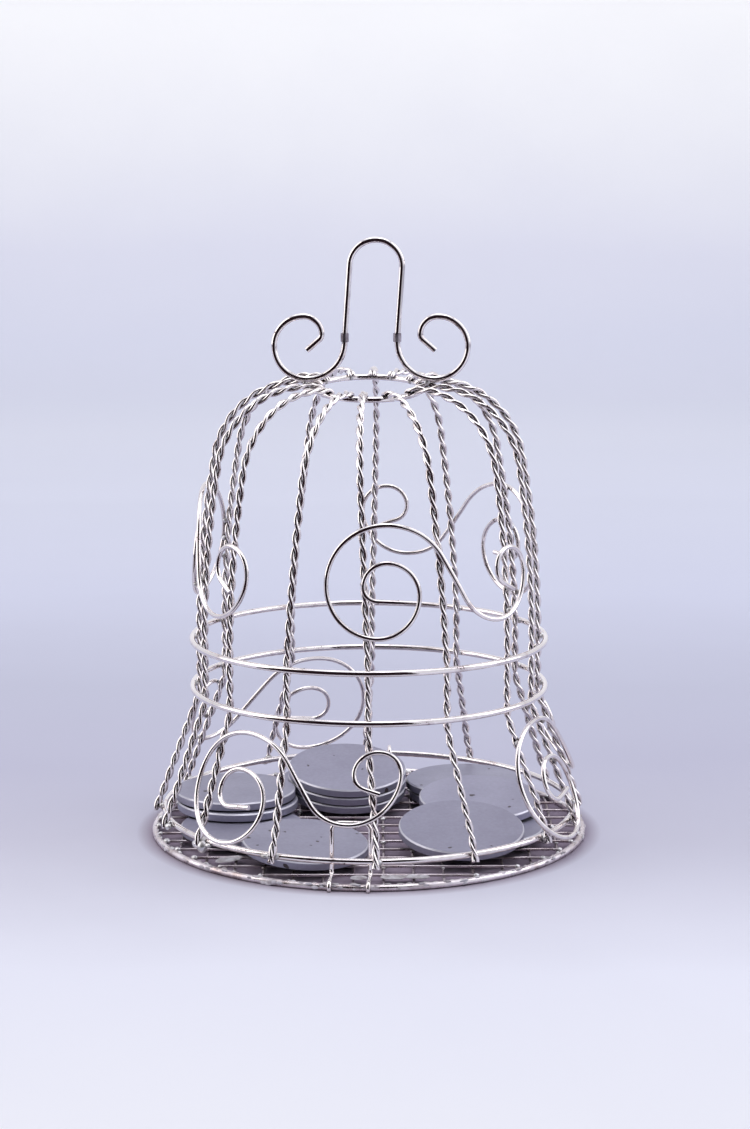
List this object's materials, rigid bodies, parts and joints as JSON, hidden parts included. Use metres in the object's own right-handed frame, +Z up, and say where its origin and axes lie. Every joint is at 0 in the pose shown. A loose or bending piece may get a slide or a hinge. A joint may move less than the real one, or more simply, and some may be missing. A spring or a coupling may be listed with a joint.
{
  "type": "wire bell coin cage",
  "caption": "Bell-shaped silver wire cage with twisted ribs, scroll ornaments and a hanging loop, hinged on a round mesh base that holds plain coins.",
  "frame": {"origin": "middle of the base ring, on the surface that it stands on", "axes": "+Z up, -Y to the front with the latch clip, +Y to the hinge at the back, +X to the right"},
  "size_m": [0.08, 0.0809, 0.1091],
  "materials": {
    "bright_wire": "bright drawn wire",
    "dull_wire": "dull tarnished wire",
    "coin": "satin with fine specks",
    "solder": "dark dull solder"
  },
  "bodies": {
    "base": {"base_ring": "dull_wire", "mesh_wires_lengthwise": "dull_wire", "mesh_wires_crosswise": "dull_wire", "hinge_eye_left": "bright_wire", "hinge_eye_right": "bright_wire", "coin_01": "coin", "coin_02": "coin", "coin_03": "coin", "coin_04": "coin", "coin_05": "coin", "coin_06": "coin", "coin_07": "coin", "coin_08": "coin", "coin_09": "coin", "coin_10": "coin", "coin_11": "coin", "coin_12": "coin", "coin_13": "coin"},
    "bell": {"rim_ring": "bright_wire", "lower_band": "bright_wire", "upper_band": "bright_wire", "top_ring": "bright_wire", "rib_01": "bright_wire", "rib_02": "bright_wire", "rib_03": "bright_wire", "rib_04": "bright_wire", "rib_05": "bright_wire", "rib_06": "bright_wire", "rib_07": "bright_wire", "rib_08": "bright_wire", "rib_09": "bright_wire", "rib_10": "bright_wire", "rib_11": "bright_wire", "rib_12": "bright_wire", "rib_13": "bright_wire", "rib_14": "bright_wire", "upper_scroll_front": "bright_wire", "upper_scroll_right": "bright_wire", "upper_scroll_left": "bright_wire", "lower_scroll_front": "bright_wire", "lower_scroll_right": "bright_wire", "lower_scroll_back": "bright_wire", "hanger_loop": "bright_wire", "hanger_scroll_left": "bright_wire", "hanger_scroll_right": "bright_wire", "hanger_solder_collars": "solder"},
    "clip": {"latch_clip": "bright_wire"}
  },
  "joints": [
    {"name": "bell_hinge", "type": "hinge", "parent": "base", "child": "bell", "pos_m": [0, 0.03748, 0.00465], "axis": [-1, 0, 0], "range_deg": [0, 100]},
    {"name": "clip_pivot", "type": "hinge", "parent": "base", "child": "clip", "pos_m": [-0.00329, -0.03917, 0.00055], "axis": [-0.9965, 0.0837, 0], "range_deg": [0, 8], "stiffness_Nm_per_rad": 0.002}
  ]
}
